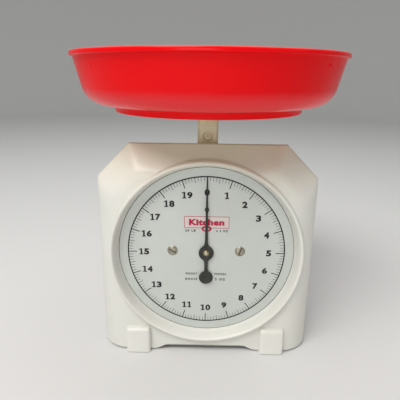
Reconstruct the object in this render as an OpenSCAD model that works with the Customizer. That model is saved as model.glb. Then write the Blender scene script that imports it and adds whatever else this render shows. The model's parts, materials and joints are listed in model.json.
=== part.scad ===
// Spring kitchen scale: a cream case with a round dial, and a round pan on a post.
// X points to the right as the user faces the dial, Y points away from the user, Z points up.
// The origin is on the table, on the axis of the pan and its post.

/* [Case] */
// Width of the case
case_w = 192; // [188:1:200]
// Height of the case's top edge above the table
case_h = 191.2; // [188:0.1:194]
// Width of the flat top edge, between the sloping shoulders
case_top_w = 136; // [130:1:140]
// Height at which the shoulders meet the sides
shoulder_z = 162.4; // [158:0.1:166]
// Height of the case's lower edge above the table
case_foot_z = 1; // [1:0.1:1.4]
// Wall of both case halves
wall = 2.4; // [2:0.1:2.8]
// How far the front face stands in from the outline
bevel_in = 22; // [20:0.5:24]
// Lean of the rear case's top and sides towards the back, in degrees
rear_lean = 11; // [10:0.5:12]

/* [Dial] */
// Height of the dial's centre above the table
dial_z = 96; // [95:0.5:97]
// Outer radius of the raised ring round the dial
ring_r = 84.6; // [84:0.1:85.2]
// Inner radius of the ring at its crest
ring_mouth_r = 81.3; // [81:0.1:81.6]
// Radius of the dial that shows inside the ring
dial_show_r = 77.9; // [77:0.1:78.4]
// Height of the ring's crest in front of the dial
ring_crest = 12.2; // [11.5:0.1:13]
// Length of the needle from the shaft to its tip
needle_len = 69; // [66:0.5:70]
// Distance of each dial screw from the shaft
dial_screw_x = 30; // [28:0.5:32]

/* [Pan] */
// Outer radius of the pan's lip
pan_r = 120; // [118:1:124]
// Height of the pan's lip above the table
pan_top_z = 265.2; // [262:0.1:268]
// Wall of the pan
pan_t = 2.2; // [1.8:0.1:2.6]
// Lean of the pan's wall from upright, in degrees
pan_lean = 13.8; // [12:0.1:15]
// Radius of the curve between the pan's floor and its wall
pan_curve_r = 20; // [18:0.5:22]
// Outer radius of the pan's foot ring
pan_foot_r = 84; // [83:0.5:85]
// Height of the foot ring's lower edge above the table
pan_foot_z = 216; // [215:0.1:217]
// Width of the post under the pan
post_w = 19; // [18:0.5:20]
// Depth of the post under the pan
post_d = 14; // [12:0.5:15]

/* [Mechanism] */
// Module of the pinion and the rack
gear_mod = 0.5; // [0.5:0.1:0.5]
// Teeth on the pinion
pinion_teeth = 10; // [10:1:10]
// Length of each guide arm between its pivots
arm_len = 56; // [54:1:58]
// Height of the upper arm's pivot in the column, pan empty
upper_pivot_z = 150; // [149:1:151]
// Height of the lower arm's pivot in the column, pan empty
lower_pivot_z = 60; // [59:1:61]
// Distance of each spring from the middle of the scale
spring_x = 24; // [22:1:25]
// Radius of the spring's coil to the middle of the wire
coil_r = 5; // [4:0.5:5.5]
// Radius of the spring wire
wire_r = 0.7; // [0.5:0.1:0.8]
// Turns in each spring
coil_turns = 12; // [8:1:16]

/* [Hidden] */
$fn = 64;
far = 400;          // size of the cutting blocks
nib = 0.01;         // small overlap that keeps a cut from leaving a skin

// Colours
cream = [0.85, 0.85, 0.82];
post_cream = [0.75, 0.71, 0.58];
red = [0.85, 0.02, 0.05];
silver = [0.78, 0.79, 0.78];
steel = [0.62, 0.63, 0.65];
brass = [0.78, 0.6, 0.28];
black = [0.06, 0.06, 0.06];

// Depths, front to back
dial_y = -50;                           // face of the dial
outline_y = -40;                        // where the bevels start
part_y = -36;                           // joint between the two case halves
face_y = -59.3;                         // flat front of the case
back_y = 46;                            // flat back of the case
dial_t = 0.8;
plate_t = 1.5;                          // front plate of the chassis
front_plate_y = dial_y + dial_t;
pillar_y = front_plate_y + plate_t;
back_plate_y = 26;
back_plate_t = 2;
lens_y = dial_y - 5.2;
lens_t = 1.5;
bore_r = 80.5;                          // bore in the ring that holds lens and dial
disc_r = 80.3;
needle_y = -52.2;
needle_t = 0.5;
spring_y = 20;

// Case outline: a box with sloping shoulders
half_w = case_w / 2;
bevel_k = bevel_in / (outline_y - face_y);
lean_k = tan(rear_lean);
side_in = 8.7;                          // the sides bulge: a steep slope, then a flat one
side_y = outline_y - 13.4;
front_sides = [
    [half_w, outline_y, side_in / (outline_y - side_y)],
    [half_w - side_in, side_y, (bevel_in - side_in) / (side_y - face_y)]
];
rear_sides = [[half_w, part_y, -lean_k]];
sh_dx = half_w - case_top_w / 2;
sh_dz = case_h - shoulder_z;
sh_len = norm([sh_dx, sh_dz]);
sh_ang = atan2(sh_dx, sh_dz);
sh_dist = (sh_dz * half_w + sh_dx * shoulder_z) / sh_len;   // from the origin to the shoulder

// Travel of the pan: one turn of the pinion
pitch_r = gear_mod * pinion_teeth / 2;
travel = 2 * PI * pitch_r;
arm_ang = asin(travel / 2 / arm_len);
frame_x = -arm_len * cos(arm_ang);
pin_r = 2;
shaft_r = 1;
run = 0.05;                             // radial clearance of a running fit

// Foot blocks and the arch between them
foot_block_w = 19.5;
foot_block_x = 51.5;
foot_block_h = 24.5;
foot_front_y = -62.7;
foot_back_y = -44;
foot_floor = 2.8;
foot_low_z = 0.6;
foot_edge_r = 3.4;
arch_h = 6;
arch_flat = 33;
arch_end = 47;

// Rack and pinion
rack_x = pitch_r;
rack_back_x = rack_x + 5.5;
rack_low_z = 90;
rack_add = 0.26;                        // height of the rack's teeth beyond the pitch line
rack_ded = 0.62;
bracket_z = 132;
pitch = PI * gear_mod;
tooth_half = pitch / 4 - 0.07;          // half the tooth's width on the pitch line
base_r = pitch_r * cos(20);
tip_r = pitch_r + gear_mod * 0.9;
root_r = pitch_r - rack_add - 0.2;
tooth_ang = 90 / pinion_teeth - 1.6;    // half the tooth's angle on the pitch circle

// Needle
needle_end_y = needle_y + needle_t;
bead_z = 40.5;
weight_z = 23.8;

// Zero knob
knob_r = 9;
knob_z = 183.6;
knob_h = 7;
groove_r = 1.1;

// Pan heights
pan_floor_z = pan_foot_z + 6;
lip_h = 3.8;
wall_top_r = pan_r - 2.6;
post_screw_z = 193;
post_low_z = 165;
strip_w = 12;
strip_t = 3;
strip_low_z = 40;
strip_top_z = 196;
post_corner_r = 3;
cone_z = 208.5;
disc_t = 1.6;
recess_r = 4.6;                         // recess in the post round its screw
recess_deep = 1.8;
crease_z = 202;
crease_deep = 0.5;
hanger_z = 155;
hanger_t = 4;
bar_z = 74;
bar_t = 2;

sh_nx = sh_dz / sh_len;
sh_nz = sh_dx / sh_len;

case_screw_pts = [[72, 152], [-72, 152], [70, 30], [-70, 30]];
foot_pts = [[61.25, -53], [-61.25, -53], [66, 35], [-66, 35]];
chassis_pts = [[-56, 26], [34, 26], [-56, 157], [34, 157]];
pillar_pts = [[-36, 70], [36, 70], [-36, 122], [36, 122]];

// A cylinder along Y from y0 to y1, with its axis at x, z
module rod(x, z, y0, y1, r)
    translate([x, y1, z]) rotate([90, 0, 0]) cylinder(r = r, h = y1 - y0);

// A flat shape drawn in X and Z, thickened from y0 to y1
module slab(y0, y1)
    translate([0, y1, 0]) rotate([90, 0, 0]) linear_extrude(y1 - y0) children();

// A box from one corner to the other
module block(a, b)
    translate(a) cube(b - a);

// A shape drawn as radius and height in front of the dial, turned round the dial's axis
module dial_turn()
    translate([0, dial_y, dial_z]) rotate([90, 0, 0]) rotate_extrude($fn = 128) children();

// Everything outside a plane that leans in from the outline by k per mm of depth
module lean_cut(ang, dist, y0, k, t)
    rotate([0, -ang, 0])
        translate([dist, y0, 0])
            rotate([0, 0, -atan(k)])
                translate([-t, -far, -far])
                    cube([far, 2 * far, 2 * far]);

// Ends of the sloping shoulder, with the outline moved in by t
function sh_x(t) = (sh_dist - t - sh_nz * (case_h - t)) / sh_nx;
function sh_z(t) = (sh_dist - t - sh_nx * (half_w - t)) / sh_nz;

// The case's outline, moved in by t, down to the height low
module outline(t, low)
    polygon([
        [half_w - t, low], [half_w - t, sh_z(t)], [sh_x(t), case_h - t],
        [-sh_x(t), case_h - t], [-half_w + t, sh_z(t)], [-half_w + t, low]
    ]);

// The outline from y0 to y1, with its top and shoulders leaning in by k per mm.
// Each row of sides is one slope of the left and right sides: where it starts, and its own k.
module leaning_box(y0, y1, lean_y, k, t, low, sides)
    difference() {
        slab(y0, y1) outline(t, low);
        for (slope = sides) {
            lean_cut(0, slope[0], slope[1], slope[2], t);
            lean_cut(180, slope[0], slope[1], slope[2], t);
        }
        lean_cut(90, case_h, lean_y, k, t);
        lean_cut(sh_ang, sh_dist, lean_y, k, t);
        lean_cut(180 - sh_ang, sh_dist, lean_y, k, t);
    }

// A quarter round from angle a to angle b, as points
function arc_pts(c, r, a, b, n = 8) =
    [for (i = [0:n]) let (t = a + (b - a) * i / n) c + r * [cos(t), sin(t)]];

// The ring round the dial: rounded crest, sloping inner wall, step for the lens
module ring_profile() {
    crest_r = 1.6;
    polygon(concat(
        [[bore_r, dial_y - part_y + 6], [ring_r, dial_y - part_y + 6]],
        arc_pts([ring_r - crest_r, ring_crest - crest_r], crest_r, 0, 90),
        arc_pts([ring_mouth_r + 0.9, ring_crest - 0.9], 0.9, 90, 180),
        [[dial_show_r + 1.4, dial_y - lens_y], [bore_r, dial_y - lens_y]]
    ));
}

// One hollow foot block under the front of the case
module foot_block()
    translate([foot_block_x, 0, 0]) rotate([90, 0, 90]) linear_extrude(foot_block_w)
        polygon(concat(
            [[foot_back_y, foot_low_z], [foot_back_y, foot_block_h]],
            arc_pts([foot_front_y + foot_edge_r, foot_block_h - foot_edge_r], foot_edge_r, 90, 180),
            [[foot_front_y, foot_low_z]]
        ));

module foot_pocket()
    block([foot_block_x + wall, foot_front_y + wall, foot_low_z + foot_floor],
        [foot_block_x + foot_block_w - wall, -40, foot_block_h - wall]);

// Recess for a rubber foot, the screw head above it, and the screw's hole
module foot_recess(p)
    translate([p[0], p[1], 0]) {
        translate([0, 0, -1]) cylinder(r = 5.6, h = 2.4);
        translate([0, 0, 1]) cylinder(r = 2.7, h = 1.6);
        cylinder(r = 1.25, h = 5);
    }

// The arch between the feet, with a soft curve at each end
function arch_z(x) = case_foot_z
    + (arch_h - case_foot_z) * (1 + cos(180 * (x - arch_flat) / (arch_end - arch_flat))) / 2;

module arch()
    slab(-70, -50) polygon(concat(
        [[-arch_end, -1]],
        [for (x = [-arch_end:1:-arch_flat]) [x, arch_z(-x)]],
        [for (x = [arch_flat:1:arch_end]) [x, arch_z(x)]],
        [[arch_end, -1]]
    ));

module front_case()
    color(cream) difference() {
        union() {
            difference() {
                leaning_box(face_y, part_y, outline_y, bevel_k, 0, case_foot_z, front_sides);
                leaning_box(face_y + wall, part_y + 1, outline_y, bevel_k, wall, -1, front_sides);
                rod(0, dial_z, -70, -30, ring_r - 1.2);
            }
            dial_turn() ring_profile();
            foot_block();
            mirror([1, 0, 0]) foot_block();
            intersection() {
                leaning_box(face_y, part_y, outline_y, bevel_k, 0, case_foot_z, front_sides);
                union() for (p = case_screw_pts) rod(p[0], p[1], face_y + 1, part_y, 4.5);
            }
        }
        foot_pocket();
        mirror([1, 0, 0]) foot_pocket();
        for (p = [foot_pts[0], foot_pts[1]]) foot_recess(p);
        for (p = case_screw_pts) rod(p[0], p[1], -49, -30, 1.5);
        arch();
    }

module rear_case()
    color(cream) difference() {
        union() {
            difference() {
                leaning_box(part_y, back_y, part_y, -lean_k, 0, case_foot_z, rear_sides);
                leaning_box(part_y - 1, back_y - wall, part_y, -lean_k, wall, -1, rear_sides);
            }
            for (p = case_screw_pts) rod(p[0], p[1], part_y, back_y - nib, 5);
            for (p = chassis_pts) rod(p[0], p[1], back_plate_y + back_plate_t, back_y - nib, 4.5);
            for (s = [-1, 1]) translate([s * 66, 0, 0]) block([-9, 26, foot_low_z], [9, 44, 3.4]);
        }
        for (p = case_screw_pts) {
            rod(p[0], p[1], -28, 50, 3.4);
            rod(p[0], p[1], -50, 0, 1.6);
        }
        for (p = chassis_pts) rod(p[0], p[1], 20, 38, 1.5);
        for (p = [foot_pts[2], foot_pts[3]]) foot_recess(p);
        block([-11, -8.5, 165], [11, 8.5, 200]);
        translate([0, spring_y, 160]) cylinder(r = 5, h = 40);
    }

// Half-width of the space between the case walls at depth y
function inner_w(y) = y < outline_y
    ? half_w - bevel_k * (outline_y - y) - wall * sqrt(1 + bevel_k * bevel_k)
    : half_w - lean_k * max(0, y - part_y) - wall * 1.05;

// Notch in the base plate for one side wall of a foot block
module wall_notch(x)
    block([x - 0.2, -70, 2], [x + wall + 0.2, foot_back_y + 0.2, 7]);

module base_plate()
    color(steel) difference() {
        union() {
            translate([0, 0, 3.4]) linear_extrude(1.6) polygon([
                [inner_w(-56) - 0.6, -56], [inner_w(-40.1) - 0.6, -40.1], [inner_w(-36) - 0.6, -36],
                [inner_w(43) - 0.6, 43], [-inner_w(43) + 0.6, 43], [-inner_w(-36) + 0.6, -36],
                [-inner_w(-40.1) + 0.6, -40.1], [-inner_w(-56) + 0.6, -56]
            ]);
            for (p = foot_pts) translate([p[0], p[1], 4]) cylinder(r = 3, h = 4);
        }
        for (p = foot_pts) translate([p[0], p[1], 0]) cylinder(r = 1.2, h = 20);
        for (s = [0, 1]) mirror([s, 0, 0]) {
            wall_notch(foot_block_x);
            wall_notch(foot_block_x + foot_block_w - wall);
        }
    }

module rubber_feet()
    color(black) for (p = foot_pts) translate([p[0], p[1], 0]) cylinder(r = 5.5, h = 1.4);

module base_screws()
    color(steel) for (p = foot_pts) translate([p[0], p[1], 1.4]) {
        cylinder(r = 2.6, h = 1.2);
        cylinder(r = 1.2, h = 6.4);
    }

module case_screws()
    color(steel) for (p = case_screw_pts) {
        rod(p[0], p[1], -28, -26, 3);
        rod(p[0], p[1], -47, -27, 1.5);
    }

module lens()
    color([0.9, 0.95, 0.95, 0.3]) rod(0, dial_z, lens_y, lens_y + lens_t, disc_r, $fn = 128);

module lens_ring()
    color(cream) dial_turn() polygon([
        [dial_show_r, 0], [disc_r, 0], [disc_r, dial_y - lens_y - lens_t],
        [dial_show_r + 0.9, dial_y - lens_y - lens_t]
    ]);

module dial_plate()
    color(silver) difference() {
        rod(0, dial_z, dial_y, dial_y + dial_t, disc_r, $fn = 128);
        rod(0, dial_z, -60, -40, 5);
        for (s = [-1, 1]) rod(s * dial_screw_x, dial_z + 1.4, -60, -40, 1.5);
    }

module dial_screws()
    color(brass) for (s = [-1, 1]) difference() {
        translate([s * dial_screw_x, 0, dial_z + 1.4]) {
            rod(0, 0, dial_y - 1.2, dial_y, 4.7);
            rod(0, 0, dial_y, pillar_y + 2, 1.5);
        }
        translate([s * dial_screw_x, 0, dial_z + 1.4]) block([-5, -52, -0.5], [5, dial_y - 0.7, 0.5]);
    }

module front_plate()
    color(steel) difference() {
        block([-42, front_plate_y, 56], [42, pillar_y, 136]);
        rod(0, dial_z, -60, -40, 2.5);
        for (s = [-1, 1]) rod(s * dial_screw_x, dial_z + 1.4, -60, -40, 1.5);
        for (p = pillar_pts) rod(p[0], p[1], -60, -40, 1.8);
        for (s = [-1, 1]) rod(s * 18, dial_z, -60, -40, 1.2);
    }

module back_plate()
    color(steel) difference() {
        union() {
            block([-64, back_plate_y, 18], [42, back_plate_y + back_plate_t, 167]);
            block([-14, 13, 165], [14, back_plate_y + back_plate_t, 167]);
        }
        for (p = pillar_pts) rod(p[0], p[1], 20, 40, 1.8);
        for (p = chassis_pts) rod(p[0], p[1], 20, 40, 1.5);
        for (z = [upper_pivot_z, lower_pivot_z]) rod(frame_x, z - travel / 2, 20, 40, pin_r);
        translate([0, spring_y, 160]) cylinder(r = pin_r + run, h = 20);
    }

module pillars()
    color(steel) for (p = pillar_pts) {
        rod(p[0], p[1], pillar_y, back_plate_y, 3);
        rod(p[0], p[1], front_plate_y, 31, 1.8);
    }

module pillar_nuts()
    color(steel) for (p = pillar_pts) difference() {
        rod(p[0], p[1], back_plate_y + back_plate_t, 30.4, 3.6, $fn = 6);
        rod(p[0], p[1], 20, 40, 1.8);
    }

module chassis_screws()
    color(steel) for (p = chassis_pts) {
        rod(p[0], p[1], back_plate_y - 1.6, back_plate_y, 3);
        rod(p[0], p[1], back_plate_y - 1, 37, 1.5);
    }

// U-shaped strap behind the front plate that carries the shaft's rear bush
module pinion_bracket()
    color(steel) difference() {
        union() {
            block([-14, -21, dial_z - 8], [14, -19.5, dial_z + 8]);
            for (s = [0, 1]) mirror([s, 0, 0]) {
                block([12.5, pillar_y, dial_z - 8], [14, -19.5, dial_z + 8]);
                block([12.5, pillar_y, dial_z - 8], [22, pillar_y + 1.5, dial_z + 8]);
            }
        }
        rod(0, dial_z, -30, -10, 2.5);
        for (s = [-1, 1]) rod(s * 18, dial_z, -60, -40, 1.2);
    }

module bracket_rivets()
    color(steel) for (s = [-1, 1]) {
        rod(s * 18, dial_z, front_plate_y, pillar_y + 1.5, 1.2);
        rod(s * 18, dial_z, pillar_y + 1.5, pillar_y + 2.5, 2.2);
    }

// A flanged bush for the pinion's shaft: its body from y0 to y1, its flange from y1 to y2
module bush(y0, y1, y2)
    color(brass) difference() {
        union() {
            rod(0, dial_z, y0, y1, 2.5);
            rod(0, dial_z, y1, y2, 4);
        }
        rod(0, dial_z, -70, 0, shaft_r + run);
    }

module front_bush() bush(front_plate_y, pillar_y, pillar_y + 1);
module rear_bush() bush(-21, -19.5, -18.5);

module frame_pin(z)
    color(steel) {
        rod(frame_x, z - travel / 2, -12, back_plate_y + back_plate_t, pin_r);
        rod(frame_x, z - travel / 2, -12, -10.4, 3.6);
    }

module upper_frame_pin() frame_pin(upper_pivot_z);
module lower_frame_pin() frame_pin(lower_pivot_z);

module arm_spacers()
    color(steel) for (z = [upper_pivot_z, lower_pivot_z]) difference() {
        rod(frame_x, z - travel / 2, 10.4, back_plate_y, 4);
        rod(frame_x, z - travel / 2, 0, 40, pin_r);
    }

// A coil spring between the hanger and the crossbar, swept from a six-sided wire
module coil(x) {
    z0 = bar_z + bar_t + wire_r + 0.1;
    z1 = hanger_z - wire_r - 0.1;
    steps = coil_turns * 14;
    sides = 6;
    pts = [for (i = [0:steps]) let (a = i * 360 / 14, z = z0 + (z1 - z0) * i / steps)
        for (j = [0:sides - 1]) let (r = coil_r + wire_r * cos(j * 60))
            [r * cos(a), r * sin(a), z + wire_r * sin(j * 60)]];
    faces = concat(
        [[for (j = [0:sides - 1]) j]],
        [for (i = [0:steps - 1]) for (j = [0:sides - 1]) let (n = (j + 1) % sides)
            [i * sides + j, (i + 1) * sides + j, (i + 1) * sides + n]],
        [for (i = [0:steps - 1]) for (j = [0:sides - 1]) let (n = (j + 1) % sides)
            [i * sides + j, (i + 1) * sides + n, i * sides + n]],
        [[for (j = [sides - 1:-1:0]) steps * sides + j]]
    );
    translate([x, spring_y, 0]) polyhedron(pts, faces);
}

module left_spring() color(steel) coil(-spring_x);
module right_spring() color(steel) coil(spring_x);

// Steel strip that hangs from the pan's post and carries springs, rack and arms
module column()
    color(steel) difference() {
        block([-strip_w / 2, -strip_t / 2, strip_low_z], [strip_w / 2, strip_t / 2, strip_top_z]);
        for (z = [upper_pivot_z, lower_pivot_z]) rod(0, z, -10, 10, pin_r);
        rod(0, post_screw_z, -10, 10, 1.5);
        for (s = [-1, 1]) rod(s * 3.5, bar_z + 8, -10, 10, 1.2);
        for (s = [-1, 1]) rod(s * 3, 127, -10, 10, 1.2);
    }

// The post's section, with rounded corners
module post_section() {
    for (sx = [-1, 1]) for (sy = [-1, 1])
        translate([sx * (post_w / 2 - post_corner_r), sy * (post_d / 2 - post_corner_r)])
            circle(r = post_corner_r);
    square([post_w - 2 * post_corner_r, post_d], center = true);
    square([post_w, post_d - 2 * post_corner_r], center = true);
}

module pan_support()
    color(post_cream) difference() {
        union() {
            translate([0, 0, post_low_z])
                linear_extrude(pan_floor_z - 1 - post_low_z) post_section();
            translate([0, 0, cone_z])
                cylinder(r1 = 12.5, r2 = 34, h = pan_floor_z - disc_t - cone_z + nib);
            translate([0, 0, pan_floor_z - disc_t]) cylinder(r = 78, h = disc_t, $fn = 96);
        }
        block([-strip_w / 2, -strip_t / 2, post_low_z - 1], [strip_w / 2, strip_t / 2, strip_top_z]);
        rod(0, post_screw_z, -10, -post_d / 2 + recess_deep, recess_r);
        rod(0, post_screw_z, -10, 5.5, 1.5);
        difference() {
            block([-12, -9, crease_z], [12, 9, crease_z + 0.6]);
            block([-post_w / 2 + crease_deep, -post_d / 2 + crease_deep, crease_z - 1],
                [post_w / 2 - crease_deep, post_d / 2 - crease_deep, crease_z + 2]);
        }
    }

module post_screw()
    color(post_cream) difference() {
        union() {
            rod(0, post_screw_z, -post_d / 2 + 0.4, -post_d / 2 + recess_deep, 3.8);
            rod(0, post_screw_z, -post_d / 2 + 1, 5.5, 1.5);
        }
        rod(0, post_screw_z, -10, -post_d / 2 + 1, 1.1);
    }

module crossbar()
    color(steel) difference() {
        union() {
            block([-30, 14, bar_z], [30, 25, bar_z + bar_t]);
            block([-6, strip_t / 2, bar_z], [6, 14 + nib, bar_z + bar_t]);
            block([-6, strip_t / 2, bar_z], [6, strip_t / 2 + 2, bar_z + 13]);
        }
        for (s = [-1, 1]) rod(s * 3.5, bar_z + 8, -10, 10, 1.2);
    }

module crossbar_rivets()
    color(steel) for (s = [-1, 1]) {
        rod(s * 3.5, bar_z + 8, -strip_t / 2, strip_t / 2 + 2, 1.2);
        rod(s * 3.5, bar_z + 8, strip_t / 2 + 2, strip_t / 2 + 3, 2);
    }

// Angle that carries the rack forward of the column
module rack_bracket()
    color(steel) difference() {
        union() {
            block([-6, -34, bracket_z], [9, -strip_t / 2, bracket_z + 2]);
            block([-6, -strip_t / 2 - 1.5, 121], [6, -strip_t / 2, bracket_z + nib]);
        }
        for (s = [-1, 1]) rod(s * 3, 127, -10, 10, 1.2);
        translate([rack_x + 3.5, -30, 120]) cylinder(r = 1, h = 20);
    }

module bracket_pins()
    color(steel) for (s = [-1, 1]) {
        rod(s * 3, 127, -strip_t / 2 - 1.5, strip_t / 2, 1.2);
        rod(s * 3, 127, -strip_t / 2 - 2.5, -strip_t / 2 - 1.5, 2);
    }

// Rack: its teeth point to the shaft, and its tenon is riveted into the bracket
module rack_teeth_profile() {
    count = floor((bracket_z - 14 - rack_low_z) / pitch);
    slope = tan(20);
    polygon(concat(
        [[rack_x + rack_ded, rack_low_z]],
        [for (i = [-3:count - 4]) let (z = dial_z + i * pitch) each [
            [rack_x + rack_ded, z - tooth_half - rack_ded * slope],
            [rack_x - rack_add, z - tooth_half + rack_add * slope],
            [rack_x - rack_add, z + tooth_half - rack_add * slope],
            [rack_x + rack_ded, z + tooth_half + rack_ded * slope]
        ]],
        [[rack_x + rack_ded, bracket_z], [rack_back_x, bracket_z], [rack_back_x, rack_low_z]]
    ));
}

module rack()
    color(brass) {
        slab(-33, -27) rack_teeth_profile();
        translate([rack_x + 3.5, -30, bracket_z - 1]) cylinder(r = 1, h = 3);
    }

module column_pin(z)
    color(steel) {
        rod(0, z, -11.6, 11.6, pin_r);
        for (s = [0, 1]) mirror([0, s, 0]) rod(0, z, 10.4, 11.6, 3);
    }

module upper_column_pin() column_pin(upper_pivot_z);
module lower_column_pin() column_pin(lower_pivot_z);

// Guide arm: two side plates joined by a web, with a round bore at the frame end
// and a short slot at the column end
module guide_arm(z)
    color(steel) translate([frame_x, 0, z - travel / 2]) rotate([0, -arm_ang, 0]) difference() {
        union() {
            for (s = [0, 1]) mirror([0, s, 0]) {
                block([0, 8.5, -4.5], [arm_len, 10, 4.5]);
                rod(0, 0, 8.5, 10, 4.5);
                rod(arm_len, 0, 8.5, 10, 4.5);
            }
            block([8, -9, 3], [arm_len - 18, 9, 4.5]);
        }
        rod(0, 0, -20, 20, pin_r + run);
        for (dx = [-0.6, 0.6]) rod(arm_len + dx, 0, -20, 20, pin_r + 0.1);
        block([arm_len - 0.6, -20, -pin_r - 0.1], [arm_len + 0.6, 20, pin_r + 0.1]);
    }

module upper_arm() guide_arm(upper_pivot_z);
module lower_arm() guide_arm(lower_pivot_z);

// The pan: floor, curve and leaning wall as an outer line at offset 0 and an inner at pan_t
wall_rise = pan_top_z - lip_h - pan_floor_z - pan_curve_r;
curve_x = wall_top_r - wall_rise * tan(pan_lean) - pan_curve_r / cos(pan_lean);
function pan_line(t) = concat(
    [[0, pan_floor_z + t]],
    arc_pts([curve_x, pan_floor_z + pan_curve_r], pan_curve_r - t, -90, -pan_lean, 16)
);
module bowl()
    color(red) {
        inner = pan_line(pan_t);
        rotate_extrude($fn = 128) polygon(concat(
            pan_line(0),
            [[wall_top_r, pan_top_z - lip_h], [pan_r, pan_top_z - lip_h], [pan_r, pan_top_z],
                [wall_top_r - pan_t / cos(pan_lean), pan_top_z]],
            [for (i = [len(inner) - 1:-1:0]) inner[i]]
        ));
        translate([0, 0, pan_foot_z]) difference() {
            cylinder(r = pan_foot_r, h = pan_floor_z - pan_foot_z + pan_t / 2, $fn = 128);
            translate([0, 0, -1])
                cylinder(r = pan_foot_r - 2.6, h = pan_floor_z - pan_foot_z + 1, $fn = 128);
        }
        for (a = [33, 147, 270]) rotate([0, 0, a + 180])
            translate([wall_top_r - 1.2, 0, pan_top_z - lip_h - 5.5]) cylinder(r = 1.8, h = 6);
    }

// Needle, bead, hub and round counterweight, cut from one sheet
module pointer()
    color(black) difference() {
        union() {
            slab(needle_y, needle_end_y) translate([0, dial_z])
                polygon([[-1.3, 0], [-0.6, needle_len], [0.6, needle_len], [1.3, 0]]);
            rod(0, dial_z + bead_z, needle_y, needle_end_y, 2);
            rod(0, dial_z, needle_y, needle_end_y, 6.5);
            rod(0, dial_z - weight_z, needle_y, needle_end_y, 6.3);
            block([-1.6, needle_y, dial_z - weight_z], [1.6, needle_end_y, dial_z]);
        }
        rod(0, dial_z, -60, -40, 1.8);
    }

module pointer_boss()
    color(brass) difference() {
        union() {
            rod(0, dial_z, needle_y - 1, needle_y, 2.8);
            rod(0, dial_z, needle_y, needle_y + 1.4, 1.8);
        }
        rod(0, dial_z, -60, -40, shaft_r);
    }

module pinion_shaft() color(steel) rod(0, dial_z, needle_y - 1, -17.5, shaft_r);

// Pinion with involute teeth, a gap pointing at the rack
function inv(r) = let (c = base_r / r) (tan(acos(c)) * 180 / PI - acos(c));
function flank(r) = tooth_ang + inv(pitch_r) - inv(max(r, base_r));
module pinion_profile() {
    radii = [root_r, base_r, pitch_r, (pitch_r + tip_r) / 2, tip_r];
    polygon([for (i = [0:pinion_teeth - 1]) let (c = (i + 0.5) * 360 / pinion_teeth) each concat(
        [for (r = radii) r * [cos(c - flank(r)), sin(c - flank(r))]],
        [for (k = [len(radii) - 1:-1:0]) let (t = c + flank(radii[k])) radii[k] * [cos(t), sin(t)]]
    )]);
}

module pinion()
    color(brass) difference() {
        slab(-34, -26) translate([0, dial_z]) pinion_profile();
        rod(0, dial_z, -40, -20, shaft_r);
    }

module zero_knob()
    color(black) difference() {
        translate([0, spring_y, knob_z]) cylinder(r = knob_r, h = knob_h);
        for (a = [0:20:340]) translate([0, spring_y, 0]) rotate([0, 0, a])
            translate([knob_r + 0.5, 0, knob_z - 1]) cylinder(r = groove_r, h = knob_h + 2, $fn = 24);
        translate([0, spring_y, knob_z - 1]) cylinder(r = pin_r, h = 5);
    }

module zero_screw()
    color(steel) translate([0, spring_y, 0]) {
        translate([0, 0, 151]) cylinder(r = pin_r, h = knob_z + 4 - 151);
        translate([0, 0, 163.2]) cylinder(r = 3.5, h = 1.7);
        translate([0, 0, 167.1]) cylinder(r = 3.5, h = 1.7);
    }

module spring_hanger()
    color(steel) difference() {
        block([-30, 15, hanger_z], [30, 24.5, hanger_z + hanger_t]);
        translate([0, spring_y, 140]) cylinder(r = pin_r + run, h = 30);
    }

front_case();
rear_case();
base_plate();
rubber_feet();
case_screws();
base_screws();
lens();
lens_ring();
dial_plate();
dial_screws();
front_plate();
back_plate();
pillars();
pillar_nuts();
chassis_screws();
pinion_bracket();
bracket_rivets();
front_bush();
rear_bush();
upper_frame_pin();
lower_frame_pin();
arm_spacers();
left_spring();
right_spring();
column();
pan_support();
post_screw();
crossbar();
crossbar_rivets();
rack_bracket();
bracket_pins();
rack();
upper_column_pin();
lower_column_pin();
bowl();
upper_arm();
lower_arm();
pointer();
pointer_boss();
pinion();
pinion_shaft();
zero_knob();
zero_screw();
spring_hanger();
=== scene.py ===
# %% [markdown]
# # A spring kitchen scale
# The scale is a cream plastic case with a round dial in front and a red pan on a post.
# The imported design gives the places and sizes, so every cell below reads them from the frame.

# %% Load the frame
import json
import math

import bmesh
import bpy
from mathutils import Matrix, Vector


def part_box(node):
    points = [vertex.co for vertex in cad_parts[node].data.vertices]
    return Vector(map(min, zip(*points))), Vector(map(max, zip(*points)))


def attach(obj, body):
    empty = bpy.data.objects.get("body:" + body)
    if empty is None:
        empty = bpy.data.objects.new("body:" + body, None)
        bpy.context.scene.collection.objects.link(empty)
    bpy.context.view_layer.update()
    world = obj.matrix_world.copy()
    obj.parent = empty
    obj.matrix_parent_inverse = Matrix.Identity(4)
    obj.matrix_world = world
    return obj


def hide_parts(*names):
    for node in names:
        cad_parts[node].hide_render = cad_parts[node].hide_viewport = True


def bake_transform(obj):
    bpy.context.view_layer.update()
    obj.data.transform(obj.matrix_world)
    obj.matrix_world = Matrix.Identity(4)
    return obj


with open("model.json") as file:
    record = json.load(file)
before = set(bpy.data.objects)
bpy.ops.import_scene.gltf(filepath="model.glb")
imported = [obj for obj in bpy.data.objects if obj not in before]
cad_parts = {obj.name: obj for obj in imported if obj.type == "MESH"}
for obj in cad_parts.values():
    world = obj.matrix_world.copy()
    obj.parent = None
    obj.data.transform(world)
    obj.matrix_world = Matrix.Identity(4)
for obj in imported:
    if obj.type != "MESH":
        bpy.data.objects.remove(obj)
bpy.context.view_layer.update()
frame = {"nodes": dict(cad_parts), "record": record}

MM = 0.001
CLOSE = 1e-6

# %% [markdown]
# ## Places
# The frame's boxes say where each part lies. The dial's centre, the ring, the case's outline and
# the pan are read once here, in metres, and every later cell works from these names. What no box
# tells, such as where the border's slopes begin, is measured from the dial's face.

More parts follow.
